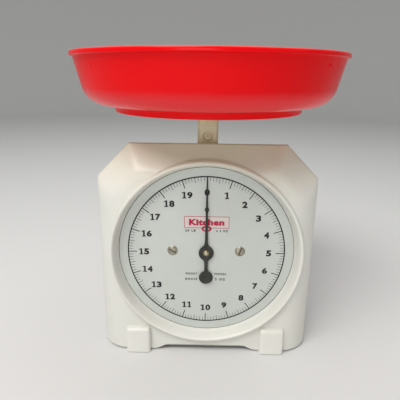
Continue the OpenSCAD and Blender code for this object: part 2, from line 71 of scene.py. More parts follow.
# %% Read the driving places
dial_low, dial_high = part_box("dial_plate")
case_low, case_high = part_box("front_case")
pan_low, pan_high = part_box("bowl")
back_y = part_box("rear_case")[1].y
dial_z = (dial_low.z + dial_high.z) / 2
dial_y = dial_low.y
half_w = case_high.x
case_top = case_high.z
face_y = dial_y - 9.3 * MM
outline_y = dial_y + 10 * MM
part_y = case_high.y
ring_r = 84.6 * MM
shoulder_z = case_top - 28.8 * MM
shoulder_x = half_w - 28 * MM
foot_z = 1 * MM
pan_floor_z = pan_low.z + 6 * MM
WALL = 2.2 * MM
print("dial centre", dial_y, dial_z, "case half width", half_w, "top", case_top)

# %% [markdown]
# ## Helpers for meshes
# A piece is made with bmesh and stays at the origin with its place in its mesh. One function ends
# every piece the same way: it merges doubles, points the faces outwards, smooths what is round and
# keeps an edge crisp where two faces meet at a clear angle.

# %% End a piece
DOUBLES = 0.002 * MM


def place_piece(name, bm, body, finish, replaces=(), sharp=35):
    bmesh.ops.remove_doubles(bm, verts=bm.verts, dist=DOUBLES)
    bmesh.ops.recalc_face_normals(bm, faces=bm.faces)
    mesh = bpy.data.meshes.new(name)
    bm.to_mesh(mesh)
    bm.free()
    mesh.shade_smooth()
    mesh.set_sharp_from_angle(angle=math.radians(sharp))
    mesh.materials.append(finish)
    piece = bpy.data.objects.new(name, mesh)
    bpy.context.scene.collection.objects.link(piece)
    if body:
        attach(piece, body)
    if replaces:
        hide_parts(*replaces)
    print(name, len(mesh.polygons), "faces")
    return piece


# %% [markdown]
# Round parts are turned. The outline is a chain of edges from two or more points, and spin sweeps it
# round an axis. A full turn merges its ends, so the seam is closed.

# %% Arcs and turned shapes
def arc(centre, radius, start, end, count=6):
    """Points on an arc, angles in degrees, as (across, along) pairs."""
    turn = [math.radians(start + (end - start) * i / count) for i in range(count + 1)]
    return [(centre[0] + radius * math.cos(a), centre[1] + radius * math.sin(a)) for a in turn]


def turn_outline(bm, outline, centre, axis, steps=96):
    """Spins (radius, height) points round an axis through centre. All sizes in metres."""
    axis = Vector(axis)
    side = Vector((1, 0, 0)) if abs(axis.x) < 0.5 else Vector((0, 0, 1))
    verts = [bm.verts.new(Vector(centre) + side * r + axis * h) for r, h in outline]
    edges = [bm.edges.new(pair) for pair in zip(verts, verts[1:])]
    bmesh.ops.spin(bm, geom=verts + edges, cent=centre, axis=axis, angle=2 * math.pi,
                   steps=steps, use_merge=True, use_duplicate=False)
    bmesh.ops.remove_doubles(bm, verts=bm.verts, dist=DOUBLES)


def scaled(points):
    return [(a * MM, b * MM) for a, b in points]


# %% [markdown]
# A box with soft edges is a cube that is stretched to its corners and then bevelled.

# %% Boxes with soft edges
def soft_box(bm, low, high, radius, segments=3, pick=lambda edge: True):
    made = bmesh.ops.create_cube(bm, size=1)["verts"]
    low, high = Vector(low), Vector(high)
    size = high - low
    bmesh.ops.scale(bm, verts=made, vec=size)
    bmesh.ops.translate(bm, verts=made, vec=(low + high) / 2)
    edges = {edge for vert in made for edge in vert.link_edges if pick(edge)}
    bmesh.ops.bevel(bm, geom=list(edges), offset=radius, segments=segments, affect="EDGES",
                    profile=0.5, material=-1)
    return made


# %% [markdown]
# ## Shared surface effects
# Old moulded plastic and plated metal are never one flat colour. Three node groups are built once:
# one mixes a clean and a soiled colour in soft blotches, one makes the fine grain that a mould or a
# brush leaves, and one finds the edges that hands rub bright and the concave corners that are made darker.

# %% Node helpers
def node(tree, kind, place=(0, 0), **values):
    made = tree.nodes.new(kind)
    made.location = place
    for key, value in values.items():
        setattr(made, key, value)
    return made


def fill(made, values):
    """Sets a node's unlinked inputs by their labels."""
    for label, value in values.items():
        made.inputs[label].default_value = value


def join(tree, source, target):
    tree.links.new(source, target)


def new_group(name, inputs, outputs):
    tree = bpy.data.node_groups.new(name, "ShaderNodeTree")
    kinds = {"value": "NodeSocketFloat", "colour": "NodeSocketColor", "vector": "NodeSocketVector"}
    for label, kind in inputs:
        tree.interface.new_socket(name=label, in_out="INPUT", socket_type=kinds[kind])
    for label, kind in outputs:
        tree.interface.new_socket(name=label, in_out="OUTPUT", socket_type=kinds[kind])
    return tree, node(tree, "NodeGroupInput", (-900, 0)), node(tree, "NodeGroupOutput", (900, 0))


# %% Blotches: soft patches of soiling
blotches, group_in, group_out = new_group(
    "soft blotches",
    [("Scale", "value"), ("Amount", "value"), ("Clean", "colour"), ("Soiled", "colour")],
    [("Colour", "colour"), ("Mask", "value")])
coord = node(blotches, "ShaderNodeTexCoord", (-900, 300))
wide = node(blotches, "ShaderNodeTexNoise", (-650, 300))
fill(wide, {"Detail": 5, "Roughness": 0.62})
join(blotches, coord.outputs["Object"], wide.inputs["Vector"])
join(blotches, group_in.outputs["Scale"], wide.inputs["Scale"])
ramp = node(blotches, "ShaderNodeMapRange", (-400, 300))
fill(ramp, {"From Min": 0.38, "From Max": 0.72})
join(blotches, wide.outputs["Fac"], ramp.inputs["Value"])
share = node(blotches, "ShaderNodeMath", (-150, 300), operation="MULTIPLY", use_clamp=True)
join(blotches, ramp.outputs["Result"], share.inputs[0])
join(blotches, group_in.outputs["Amount"], share.inputs[1])
mix = node(blotches, "ShaderNodeMix", (200, 100), data_type="RGBA")
join(blotches, share.outputs[0], mix.inputs["Factor"])
join(blotches, group_in.outputs["Clean"], mix.inputs["A"])
join(blotches, group_in.outputs["Soiled"], mix.inputs["B"])
join(blotches, mix.outputs["Result"], group_out.inputs["Colour"])
join(blotches, share.outputs[0], group_out.inputs["Mask"])
print("group", blotches.name)

# %% Grain: the fine texture of a mould or a brush
grain, group_in, group_out = new_group(
    "fine grain",
    [("Scale", "value"), ("Stretch", "vector"), ("Rough low", "value"), ("Rough high", "value")],
    [("Height", "value"), ("Roughness", "value")])
coord = node(grain, "ShaderNodeTexCoord", (-900, 300))
stretch = node(grain, "ShaderNodeVectorMath", (-700, 300), operation="MULTIPLY")
join(grain, coord.outputs["Object"], stretch.inputs[0])
join(grain, group_in.outputs["Stretch"], stretch.inputs[1])
fine = node(grain, "ShaderNodeTexNoise", (-450, 300))
fill(fine, {"Detail": 6, "Roughness": 0.7})
join(grain, stretch.outputs[0], fine.inputs["Vector"])
join(grain, group_in.outputs["Scale"], fine.inputs["Scale"])
spread = node(grain, "ShaderNodeMapRange", (0, 0))
join(grain, fine.outputs["Fac"], spread.inputs["Value"])
fill(spread, {"From Min": 0.3, "From Max": 0.7})
join(grain, group_in.outputs["Rough low"], spread.inputs["To Min"])
join(grain, group_in.outputs["Rough high"], spread.inputs["To Max"])
join(grain, fine.outputs["Fac"], group_out.inputs["Height"])
join(grain, spread.outputs["Result"], group_out.inputs["Roughness"])
print("group", grain.name)

# %% Rubbed edges and darker corners
edges_group, group_in, group_out = new_group(
    "edges and corners", [("Width", "value")], [("Edge", "value"), ("Corner", "value")])
shape = node(edges_group, "ShaderNodeNewGeometry", (-700, 0))
edge = node(edges_group, "ShaderNodeMapRange", (-300, 150))
fill(edge, {"From Min": 0.52, "From Max": 0.62})
corner = node(edges_group, "ShaderNodeMapRange", (-300, -150))
fill(corner, {"From Min": 0.48, "From Max": 0.40})
join(edges_group, shape.outputs["Pointiness"], edge.inputs["Value"])
join(edges_group, shape.outputs["Pointiness"], corner.inputs["Value"])
edge_width = node(edges_group, "ShaderNodeMath", (0, 150), operation="MULTIPLY", use_clamp=True)
corner_width = node(edges_group, "ShaderNodeMath", (0, -150), operation="MULTIPLY", use_clamp=True)
for made, source in ((edge_width, edge), (corner_width, corner)):
    join(edges_group, source.outputs["Result"], made.inputs[0])
    join(edges_group, group_in.outputs["Width"], made.inputs[1])
join(edges_group, edge_width.outputs[0], group_out.inputs["Edge"])
join(edges_group, corner_width.outputs[0], group_out.inputs["Corner"])
print("group", edges_group.name)

# %% [markdown]
# ## Finishes
# Most finishes are built the same way: blotches give the colour, grain gives roughness and a small
# bump, and worn edges shift the colour. A function makes that chain, and each finish calls it with
# the real surface's own colours and scales.

# %% A weathered surface
def weathered(name, clean, soiled, edge_colour, blotch=(9, 0.5), grain_scale=900, rough=(0.3, 0.45),
              bump=0.04, stretch=(1, 1, 1), edge_width=0.6, **shader_values):
    finish = bpy.data.materials.new(name)
    finish.use_nodes = True
    tree = finish.node_tree
    shader = tree.nodes["Principled BSDF"]
    fill(shader, {label.replace("_", " "): value for label, value in shader_values.items()})
    patches = node(tree, "ShaderNodeGroup", (-900, 300), node_tree=blotches)
    fill(patches, {"Scale": blotch[0], "Amount": blotch[1], "Clean": (*clean, 1), "Soiled": (*soiled, 1)})
    texture = node(tree, "ShaderNodeGroup", (-900, -100), node_tree=grain)
    fill(texture, {"Scale": grain_scale, "Stretch": stretch, "Rough low": rough[0], "Rough high": rough[1]})
    rims = node(tree, "ShaderNodeGroup", (-900, 600), node_tree=edges_group)
    fill(rims, {"Width": edge_width})
    colour = node(tree, "ShaderNodeMix", (-500, 400), data_type="RGBA")
    fill(colour, {"B": (*edge_colour, 1)})
    join(tree, rims.outputs["Edge"], colour.inputs["Factor"])
    join(tree, patches.outputs["Colour"], colour.inputs["A"])
    # concave corners, found from the pointiness, are made darker
    corner_darkening = node(tree, "ShaderNodeMix", (-300, 400), data_type="RGBA")
    fill(corner_darkening, {"B": (*[c * 0.55 for c in soiled], 1)})
    join(tree, rims.outputs["Corner"], corner_darkening.inputs["Factor"])
    join(tree, colour.outputs["Result"], corner_darkening.inputs["A"])
    relief = node(tree, "ShaderNodeBump", (-300, -200))
    fill(relief, {"Strength": bump, "Distance": 0.2 * MM})
    join(tree, texture.outputs["Height"], relief.inputs["Height"])
    join(tree, corner_darkening.outputs["Result"], shader.inputs["Base Color"])
    join(tree, texture.outputs["Roughness"], shader.inputs["Roughness"])
    join(tree, relief.outputs["Normal"], shader.inputs["Normal"])
    return finish


# %% [markdown]
# A second function shifts a finish towards another colour between two heights, with a ragged edge.
# It paints light and shade that come with height: a warm shade, a highlight and a reflection.

# %% A colour that comes with height
def shift_with_height(finish, colour, start, end, amount, ragged=6 * MM):
    tree = finish.node_tree
    shader = tree.nodes["Principled BSDF"]
    before = shader.inputs["Base Color"].links[0].from_socket
    coord = node(tree, "ShaderNodeTexCoord", (-1200, 900))
    parts = node(tree, "ShaderNodeSeparateXYZ", (-1000, 900))
    join(tree, coord.outputs["Object"], parts.inputs[0])
    rough_edge = node(tree, "ShaderNodeTexNoise", (-1000, 1100))
    fill(rough_edge, {"Scale": 45})
    join(tree, coord.outputs["Object"], rough_edge.inputs["Vector"])
    sway = node(tree, "ShaderNodeMath", (-800, 1000), operation="MULTIPLY_ADD")
    sway.inputs[1].default_value = ragged
    join(tree, rough_edge.outputs["Fac"], sway.inputs[0])
    join(tree, parts.outputs["Z"], sway.inputs[2])
    share = node(tree, "ShaderNodeMapRange", (-600, 900))
    fill(share, {"From Min": start + ragged / 2, "From Max": end + ragged / 2, "To Max": amount})
    join(tree, sway.outputs[0], share.inputs["Value"])
    mix = node(tree, "ShaderNodeMix", (-100, 700), data_type="RGBA")
    fill(mix, {"B": (*colour, 1)})
    join(tree, share.outputs["Result"], mix.inputs["Factor"])
    join(tree, before, mix.inputs["A"])
    join(tree, mix.outputs["Result"], shader.inputs["Base Color"])


# %% [markdown]
# The case is cream plastic. Towards its top, under the pan, its colour turns a warm tan: painted shade
# for the pan's shadow and the warm light bounced into it. The post is a yellowed plastic. The pan is a
# glossy red plastic with hair scratches, so it has a clear coat and a little roughness in its grain. Its
# lip carries a painted pale highlight, and its lower curve a painted paler red reflection, down to the foot
# ring.

# %% Plastics
cream = weathered("cream plastic", clean=(0.70, 0.70, 0.655),
                  soiled=(0.60, 0.585, 0.50), edge_colour=(0.80, 0.80, 0.76),
                  blotch=(14, 0.35), grain_scale=1400, rough=(0.30, 0.42), bump=0.05)
yellowed = weathered("yellowed plastic", clean=(0.80, 0.70, 0.50),
                     soiled=(0.66, 0.56, 0.36), edge_colour=(0.86, 0.80, 0.66),
                     blotch=(60, 0.6), grain_scale=1600, rough=(0.32, 0.5), bump=0.06)
red = weathered("red plastic", clean=(0.80, 0.0015, 0.004),
                soiled=(0.70, 0.002, 0.007), edge_colour=(0.84, 0.02, 0.03),
                blotch=(10, 0.4), grain_scale=260, rough=(0.18, 0.27), bump=0.006, edge_width=0.02,
                Specular_IOR_Level=0.10, Coat_Weight=0.05, Coat_Roughness=0.07)
knob_black = weathered("black plastic", clean=(0.03, 0.03, 0.03),
                       soiled=(0.07, 0.065, 0.06), edge_colour=(0.12, 0.12, 0.12),
                       blotch=(80, 0.5), grain_scale=2000, rough=(0.4, 0.6), bump=0.08)
rubber = weathered("black rubber", clean=(0.02, 0.02, 0.02),
                   soiled=(0.08, 0.075, 0.07), edge_colour=(0.06, 0.06, 0.06),
                   blotch=(120, 0.7), grain_scale=2500, rough=(0.7, 0.9), bump=0.15)
PAN_SHADE_TAN, LIP_HIGHLIGHT_PINK = (0.62, 0.54, 0.36), (0.90, 0.16, 0.15)
PAINTED_REFLECTION_RED, CLEAN_RED = (0.80, 0.045, 0.052), (0.80, 0.0015, 0.004)
# painted shade: the case's top turns a warm tan under the pan, for its shadow and the warm light bounced
# into it
shift_with_height(cream, PAN_SHADE_TAN, 150 * MM, 192 * MM, 0.55)
# painted highlight: a pale pink band along the top of the pan's lip
shift_with_height(red, LIP_HIGHLIGHT_PINK, pan_high.z - 0.9 * MM, pan_high.z - 0.1 * MM, 0.5, ragged=0.5 * MM)
# painted reflection: the pan's lower curve turns a paler red, down to its floor
shift_with_height(red, PAINTED_REFLECTION_RED, pan_floor_z + 15 * MM, pan_floor_z + 8 * MM, 0.85, ragged=3 * MM)
# the pan's own red comes back below its floor, so the painted reflection stops at the foot ring
shift_with_height(red, CLEAN_RED, pan_floor_z + 0.4 * MM, pan_floor_z - 0.2 * MM, 1.0, ragged=0.2 * MM)
print("plastics made")

# %% Metals and inks
silver = weathered("satin dial silver", clean=(0.55, 0.585, 0.55),
                   soiled=(0.50, 0.53, 0.495), edge_colour=(0.60, 0.62, 0.60),
                   blotch=(25, 0.5), grain_scale=500, rough=(0.42, 0.55), bump=0.03,
                   stretch=(1, 1, 14), edge_width=0.2, Metallic=0.12)
steel = weathered("zinc plated steel", clean=(0.52, 0.53, 0.54),
                  soiled=(0.40, 0.40, 0.40), edge_colour=(0.66, 0.67, 0.68),
                  blotch=(60, 0.6), grain_scale=900, rough=(0.28, 0.5), bump=0.05,
                  stretch=(1, 1, 10), Metallic=0.9)
brass = weathered("brass", clean=(0.40, 0.33, 0.16),
                  soiled=(0.22, 0.18, 0.09), edge_colour=(0.66, 0.56, 0.32),
                  blotch=(300, 0.7), grain_scale=2200, rough=(0.18, 0.38), bump=0.05, Metallic=1.0)
nickel = weathered("tarnished nickel", clean=(0.40, 0.37, 0.30),
                   soiled=(0.20, 0.17, 0.12), edge_colour=(0.62, 0.59, 0.50),
                   blotch=(420, 0.9), grain_scale=2500, rough=(0.25, 0.5), bump=0.1, Metallic=0.85)
needle_black = weathered("black needle paint", clean=(0.018, 0.019, 0.016),
                         soiled=(0.04, 0.04, 0.034), edge_colour=(0.09, 0.09, 0.08),
                         blotch=(200, 0.6), grain_scale=2500, rough=(0.35, 0.55),
                         bump=0.08, edge_width=0.04, Specular_IOR_Level=0.15)
ink_black = weathered("black dial ink", clean=(0.012, 0.012, 0.011),
                      soiled=(0.03, 0.03, 0.028), edge_colour=(0.02, 0.02, 0.02),
                      blotch=(400, 0.5), grain_scale=3000, rough=(0.4, 0.6), bump=0.02,
                      edge_width=0.02, Specular_IOR_Level=0.1)
ink_red = weathered("red dial ink", clean=(0.42, 0.006, 0.05),
                    soiled=(0.50, 0.05, 0.10), edge_colour=(0.42, 0.01, 0.05),
                    blotch=(500, 0.6), grain_scale=3000, rough=(0.4, 0.6), bump=0.02,
                    edge_width=0.02, Specular_IOR_Level=0.1)
pale_pink = weathered("pale pink plaque", clean=(0.63, 0.55, 0.53),
                      soiled=(0.57, 0.49, 0.47), edge_colour=(0.66, 0.58, 0.56),
                      blotch=(200, 0.5), grain_scale=2500, rough=(0.45, 0.6), bump=0.02)
base_paint = weathered("grey base paint", clean=(0.42, 0.42, 0.39),
                       soiled=(0.26, 0.24, 0.2), edge_colour=(0.5, 0.5, 0.47),
                       blotch=(30, 0.7), grain_scale=1200, rough=(0.5, 0.7), bump=0.1)
# painted shade for the screw slots, in a dark brown
slot_shade_paint = weathered("painted slot shade", clean=(0.035, 0.03, 0.022),
                 soiled=(0.07, 0.06, 0.04), edge_colour=(0.05, 0.045, 0.035),
                 blotch=(600, 0.7), grain_scale=3000, rough=(0.8, 0.95), bump=0.2, edge_width=0.05)
# brown dirt in the seam round the dial, together with the seam's painted shade, in ragged patches
seam_dirt_and_shade = weathered("seam dirt and painted shade", clean=(0.13, 0.115, 0.085),
                       soiled=(0.10, 0.07, 0.035), edge_colour=(0.1, 0.08, 0.05),
                       blotch=(40, 0.9), grain_scale=2500, rough=(0.8, 0.95), bump=0.1, edge_width=0.05)
ragged = node(seam_dirt_and_shade.node_tree, "ShaderNodeGroup", (-900, -500), node_tree=blotches)
fill(ragged, {"Scale": 22, "Amount": 1.0})
cover = node(seam_dirt_and_shade.node_tree, "ShaderNodeMapRange", (-400, -500))
fill(cover, {"To Min": 0.35, "To Max": 0.95})
join(seam_dirt_and_shade.node_tree, ragged.outputs["Mask"], cover.inputs["Value"])
seam_shader = seam_dirt_and_shade.node_tree.nodes["Principled BSDF"]
join(seam_dirt_and_shade.node_tree, cover.outputs["Result"], seam_shader.inputs["Alpha"])
print("metals and inks made")

# %% [markdown]
# The lens is thin clear plastic. It is nearly invisible from the front and shines more towards its
# edge, so the share of its surface that shows follows the angle it is seen at.

# %% Clear plastic
clear = bpy.data.materials.new("clear lens plastic")
clear.use_nodes = True
tree = clear.node_tree
shader = tree.nodes["Principled BSDF"]
fill(shader, {"IOR": 1.49})
facing = node(tree, "ShaderNodeLayerWeight", (-700, 300))
fill(facing, {"Blend": 0.25})
seen = node(tree, "ShaderNodeMapRange", (-400, 300))
fill(seen, {"To Min": 0.006, "To Max": 0.10})
join(tree, facing.outputs["Facing"], seen.inputs["Value"])
join(tree, seen.outputs["Result"], shader.inputs["Alpha"])
smears = node(tree, "ShaderNodeGroup", (-700, -50), node_tree=blotches)
fill(smears, {"Scale": 30, "Amount": 0.8, "Clean": (0.86, 0.88, 0.87, 1), "Soiled": (0.74, 0.73, 0.68, 1)})
join(tree, smears.outputs["Colour"], shader.inputs["Base Color"])
texture = node(tree, "ShaderNodeGroup", (-700, -300), node_tree=grain)
fill(texture, {"Scale": 300, "Stretch": (1, 1, 1), "Rough low": 0.06, "Rough high": 0.16})
relief = node(tree, "ShaderNodeBump", (-300, -300))
fill(relief, {"Strength": 0.01, "Distance": 0.1 * MM})
join(tree, texture.outputs["Height"], relief.inputs["Height"])
join(tree, relief.outputs["Normal"], shader.inputs["Normal"])
join(tree, texture.outputs["Roughness"], shader.inputs["Roughness"])
print("clear plastic made")

# %% [markdown]
# ## The front half of the case
# The real front is one moulding: a sloping border round a round dial, with the border's bends so
# soft that they hardly show. A grid of rings round the dial follows it. The rings are circles
# at the dial and turn into the case's outline at the rim, and each ring's depth comes from the
# border's planes, blended where they meet.

# %% The outline and the depth of the border
RAYS = 288
SIDE_IN = 24 * MM
BULGE = 1.6
BLEND = 1.3 * MM
ARCH_TRIES = 12
bevel_k = 22 * MM / (outline_y - face_y)
arch_flat, arch_end, arch_h = 33 * MM, 47 * MM, 6 * MM
shoulder = Vector((half_w - shoulder_x, case_top - shoulder_z))
shoulder_normal = Vector((shoulder.y, shoulder.x)).normalized()
shoulder_far = shoulder_normal.dot(Vector((half_w, shoulder_z)))


def soft_least(values, blend):
    """A smooth minimum of several distances."""
    low = min(values)
    return low - blend * math.log(sum(math.exp((low - v) / blend) for v in values))


def side_rise(inside):
    """How far the bulging side has come forward at a distance inside the outline."""
    rest = max(1 - inside / SIDE_IN, 0)
    return (outline_y - face_y) * (1 - rest ** BULGE) ** (1 / BULGE)


def border_depth(x, z):
    """Y of the front surface at a place inside the outline."""
    reach = shoulder_far - shoulder_normal.dot(Vector((abs(x), z)))
    rises = [(case_top - z) / bevel_k, reach / bevel_k, side_rise(half_w - abs(x)), outline_y - face_y]
    rise = soft_least(rises, BLEND)
    return outline_y - max(rise, 0)


def arch_line(x):
    """Height of the case's lower front edge."""
    x = abs(x)
    if x < arch_flat:
        return arch_h
    if x > arch_end:
        return foot_z
    share = (x - arch_flat) / (arch_end - arch_flat)
    return foot_z + (arch_h - foot_z) * (1 + math.cos(math.pi * share)) / 2


def rim_point(angle):
    """Where a ray from the dial's centre meets the outline."""
    across, up = math.cos(angle), math.sin(angle)
    reach = []
    if up > 0:
        reach.append((case_top - dial_z) / up)
    if abs(across) > CLOSE:
        reach.append(half_w / abs(across))
    slant = shoulder_normal.dot(Vector((abs(across), up)))
    if slant > 0:
        reach.append((shoulder_far - shoulder_normal.y * dial_z) / slant)
    if up < 0:
        bottom = foot_z
        for _ in range(ARCH_TRIES):
            bottom = arch_line(across * (bottom - dial_z) / up)
        reach.append((bottom - dial_z) / up)
    far = min(reach)
    return Vector((across * far, dial_z + up * far))


# %% Rings of the front border, from the dial out to the rim
corners = [math.atan2(case_top - dial_z, shoulder_x), math.atan2(shoulder_z - dial_z, half_w),
           math.atan2(foot_z - dial_z, half_w)]
corners += [math.pi - c for c in corners]
angles = [2 * math.pi * i / RAYS for i in range(RAYS)]
for corner_angle in corners:
    corner_angle %= 2 * math.pi
    angles[min(range(RAYS), key=lambda i: abs(angles[i] - corner_angle))] = corner_angle
rim = [rim_point(a) for a in angles]

bm = bmesh.new()
start = bmesh.ops.create_circle(bm, cap_ends=False, radius=1, segments=RAYS)["verts"]
centre = Vector((0, dial_y, dial_z))


def place_ring(verts, across, depth):
    """Moves a ring's verts to (x, z) from across(i) and y from depth(i, x, z)."""
    for i, vert in enumerate(verts):
        x, z = across(i)
        vert.co = (x, depth(i, x, z), z)


def grow_ring(verts):
    """Extrudes a closed ring of verts and gives the new verts in the same order."""
    edges = [bm.edges.get((verts[i], verts[i - 1])) for i in range(len(verts))]
    made = bmesh.ops.extrude_edge_only(bm, edges=edges)["geom"]
    new = [g for g in made if isinstance(g, bmesh.types.BMVert)]
    partner = {}
    for vert in new:
        for edge in vert.link_edges:
            other = edge.other_vert(vert)
            if other not in new:
                partner[other] = vert
    return [partner[vert] for vert in verts]


def on_circle(radius):
    return lambda i: (radius * math.cos(angles[i]), dial_z + radius * math.sin(angles[i]))


def toward_rim(share):
    root = ring_r + 1.4 * MM

    def across(i):
        base = Vector((root * math.cos(angles[i]), dial_z + root * math.sin(angles[i])))
        return base.lerp(rim[i], share)
    return across


def surface(i, x, z):
    return border_depth(x, z)


# the ring's wall and crest, then a small hollow curve where it meets the border
crest = [(78.75, -3.8), (79.1, -5.2), (79.6, -6.8), (80.2, -8.6), (80.8, -10.2), (81.2, -11.0),
         (81.6, -11.6), (82.1, -12.0), (82.7, -12.2), (83.2, -12.15), (83.7, -11.9), (84.15, -11.45),
         (84.45, -10.85), (84.6, -10.1)]
profile = scaled(crest)
place_ring(start, on_circle(profile[0][0]), lambda i, x, z: dial_y + profile[0][1])
ring = start
for radius, depth in profile[1:]:
    ring = grow_ring(ring)
    place_ring(ring, on_circle(radius), lambda i, x, z: dial_y + depth)
for radius, rise in scaled([(84.62, -0.75), (84.75, -0.35), (85.1, -0.1), (85.6, 0)]):
    ring = grow_ring(ring)
    place_ring(ring, on_circle(radius), lambda i, x, z: border_depth(x, z) + rise)
for share in (0.03, 0.1, 0.2, 0.3, 0.4, 0.5, 0.6, 0.7, 0.8, 0.88, 0.94, 0.975):
    ring = grow_ring(ring)
    place_ring(ring, toward_rim(share), surface)
for back, inset in scaled([(0.2, 0.35), (0.9, 0.08), (1.7, 0)]):
    ring = grow_ring(ring)
    middle = Vector((0, dial_z))
    place_ring(ring, lambda i: rim[i] + (middle - rim[i]).normalized() * inset,
               lambda i, x, z: outline_y + back)
ring = grow_ring(ring)
place_ring(ring, lambda i: rim[i], lambda i, x, z: part_y)
bmesh.ops.recalc_face_normals(bm, faces=bm.faces)
bmesh.ops.solidify(bm, geom=bm.faces, thickness=WALL)
print("front border", len(bm.faces), "faces")

# %% [markdown]
# The two foot blocks under the border are moulded with it. They're boxes whose top front edge is
# well rounded, and the arch between them is already part of the outline.

# %% Foot blocks, and the front half ends
block_x = (50.2 * MM, 72.3 * MM)
block_front, block_back, block_top = case_low.y - 1.1 * MM, -44 * MM, 25.2 * MM
for side in (-1, 1):
    low_x, high_x = sorted((side * block_x[0], side * block_x[1]))
    soft_box(bm, (low_x, block_front, case_low.z), (high_x, block_back, block_top), 3.0 * MM, 5,
             pick=lambda e: max(v.co.z for v in e.verts) > 10 * MM)
place_piece("front_shell", bm, "case", cream, ["front_case"], sharp=48)

# %% [markdown]
# ## The rear half of the case
# The back is a deep tray that leans in by eleven degrees, so that it would leave its mould. It
# starts as a box, drawn in at the back, whose shoulders are cut off by two planes and whose edges
# are bevelled. The top has a slot for the post.

# %% Rear tray
REAR_LEAN = 11
REAR_ROUND = 3.2 * MM
lean = math.tan(math.radians(REAR_LEAN))
depth = back_y - part_y
drawn_in = lean * depth
bm = bmesh.new()
made = bmesh.ops.create_cube(bm, size=1)["verts"]
bmesh.ops.scale(bm, verts=made, vec=(2 * half_w, depth, case_top - foot_z))
bmesh.ops.translate(bm, verts=made, vec=(0, (part_y + back_y) / 2, (case_top + foot_z) / 2))
for vert in bm.verts:
    share = (vert.co.y - part_y) / depth
    vert.co.x -= math.copysign(drawn_in * share, vert.co.x)
    if vert.co.z > dial_z:
        vert.co.z -= drawn_in * share
for side in (-1, 1):
    direction = Vector((side * shoulder_normal.x, 0, shoulder_normal.y))
    leaned = (direction + Vector((0, lean, 0))).normalized()
    point = Vector((side * half_w, part_y, shoulder_z))
    geom = list(bm.verts) + list(bm.edges) + list(bm.faces)
    bmesh.ops.bisect_plane(bm, geom=geom, plane_co=point, plane_no=leaned, clear_outer=True)
    open_edges = [e for e in bm.edges if e.is_boundary]
    bmesh.ops.contextual_create(bm, geom=open_edges)


def on_open_side(part):
    """Whether an edge or a face lies in the tray's open front or its open bottom."""
    return (all(abs(v.co.y - part_y) < CLOSE for v in part.verts)
            or all(v.co.z < foot_z + CLOSE for v in part.verts))


crisp = [e for e in bm.edges
         if e.calc_length() > 0 and len(e.link_faces) == 2 and not on_open_side(e)]
bmesh.ops.bevel(bm, geom=crisp, offset=REAR_ROUND, segments=4, affect="EDGES", profile=0.5,
                material=-1)
gone = [f for f in bm.faces if on_open_side(f)]
bmesh.ops.delete(bm, geom=gone, context="FACES")
print("rear tray", len(bm.faces), "faces")

# %% Slot for the post, then the wall
slot_low, slot_high = Vector((-11 * MM, -8.5 * MM)), Vector((11 * MM, 8.5 * MM))
for x in (slot_low.x, slot_high.x):
    bmesh.ops.bisect_plane(bm, geom=list(bm.verts) + list(bm.edges) + list(bm.faces),
                           plane_co=(x, 0, 0), plane_no=(1, 0, 0))
for y in (slot_low.y, slot_high.y):
    bmesh.ops.bisect_plane(bm, geom=list(bm.verts) + list(bm.edges) + list(bm.faces),
                           plane_co=(0, y, 0), plane_no=(0, 1, 0))
middles = {f: f.calc_center_median() for f in bm.faces}
hole = [f for f, spot in middles.items() if spot.z > dial_z and abs(spot.x) < slot_high.x
        and slot_low.y < spot.y < slot_high.y]
bmesh.ops.delete(bm, geom=hole, context="FACES")
bmesh.ops.recalc_face_normals(bm, faces=bm.faces)
bmesh.ops.solidify(bm, geom=bm.faces, thickness=WALL)

# the four screws that hold the halves together stand deep in round holes in the back
HOLE_R, HOLE_DEEP, CELL = 3.4 * MM, 20 * MM, 5 * MM
CASE_SCREWS = ((72, 152), (-72, 152), (70, 30), (-70, 30))
for x, z in CASE_SCREWS:
    spot = Vector((x * MM, back_y, z * MM))
    for normal in ((1, 0, 0), (0, 0, 1)):
        for side in (-1, 1):
            near = [f for f in bm.faces if f.calc_center_median().y > back_y - 0.01 * MM]
            geom = set(near) | {e for f in near for e in f.edges} | {v for f in near for v in f.verts}
            edge_of_cell = spot + Vector(normal) * side * CELL
            bmesh.ops.bisect_plane(bm, geom=list(geom), plane_co=edge_of_cell, plane_no=normal)
    square = min((f for f in bm.faces if f.calc_center_median().y > back_y - 0.01 * MM),
                 key=lambda f: (f.calc_center_median() - spot).length)
    bmesh.ops.inset_individual(bm, faces=[square], thickness=1.0 * MM)
    bmesh.ops.subdivide_edges(bm, edges=list(square.edges), cuts=5)
    for vert in square.verts:
        out = (vert.co - spot).normalized()
        vert.co = spot + out * HOLE_R
    dug = bmesh.ops.extrude_face_region(bm, geom=[square])["geom"]
    bottom = [g for g in dug if isinstance(g, bmesh.types.BMVert)]
    bmesh.ops.translate(bm, verts=bottom, vec=(0, -HOLE_DEEP, 0))
    if square.is_valid:
        bmesh.ops.delete(bm, geom=[square], context="FACES_ONLY")
place_piece("rear_shell", bm, "case", cream, ["rear_case"], sharp=30)

# %% [markdown]
# ## The pan
# The pan is a shallow round moulding with a wide lip and a foot ring. Its outline goes out along the
# underside, over the lip and back along the inside, then it is turned round the post's axis. Three
# small pips on the wall below the lip keep stacked pans from jamming.

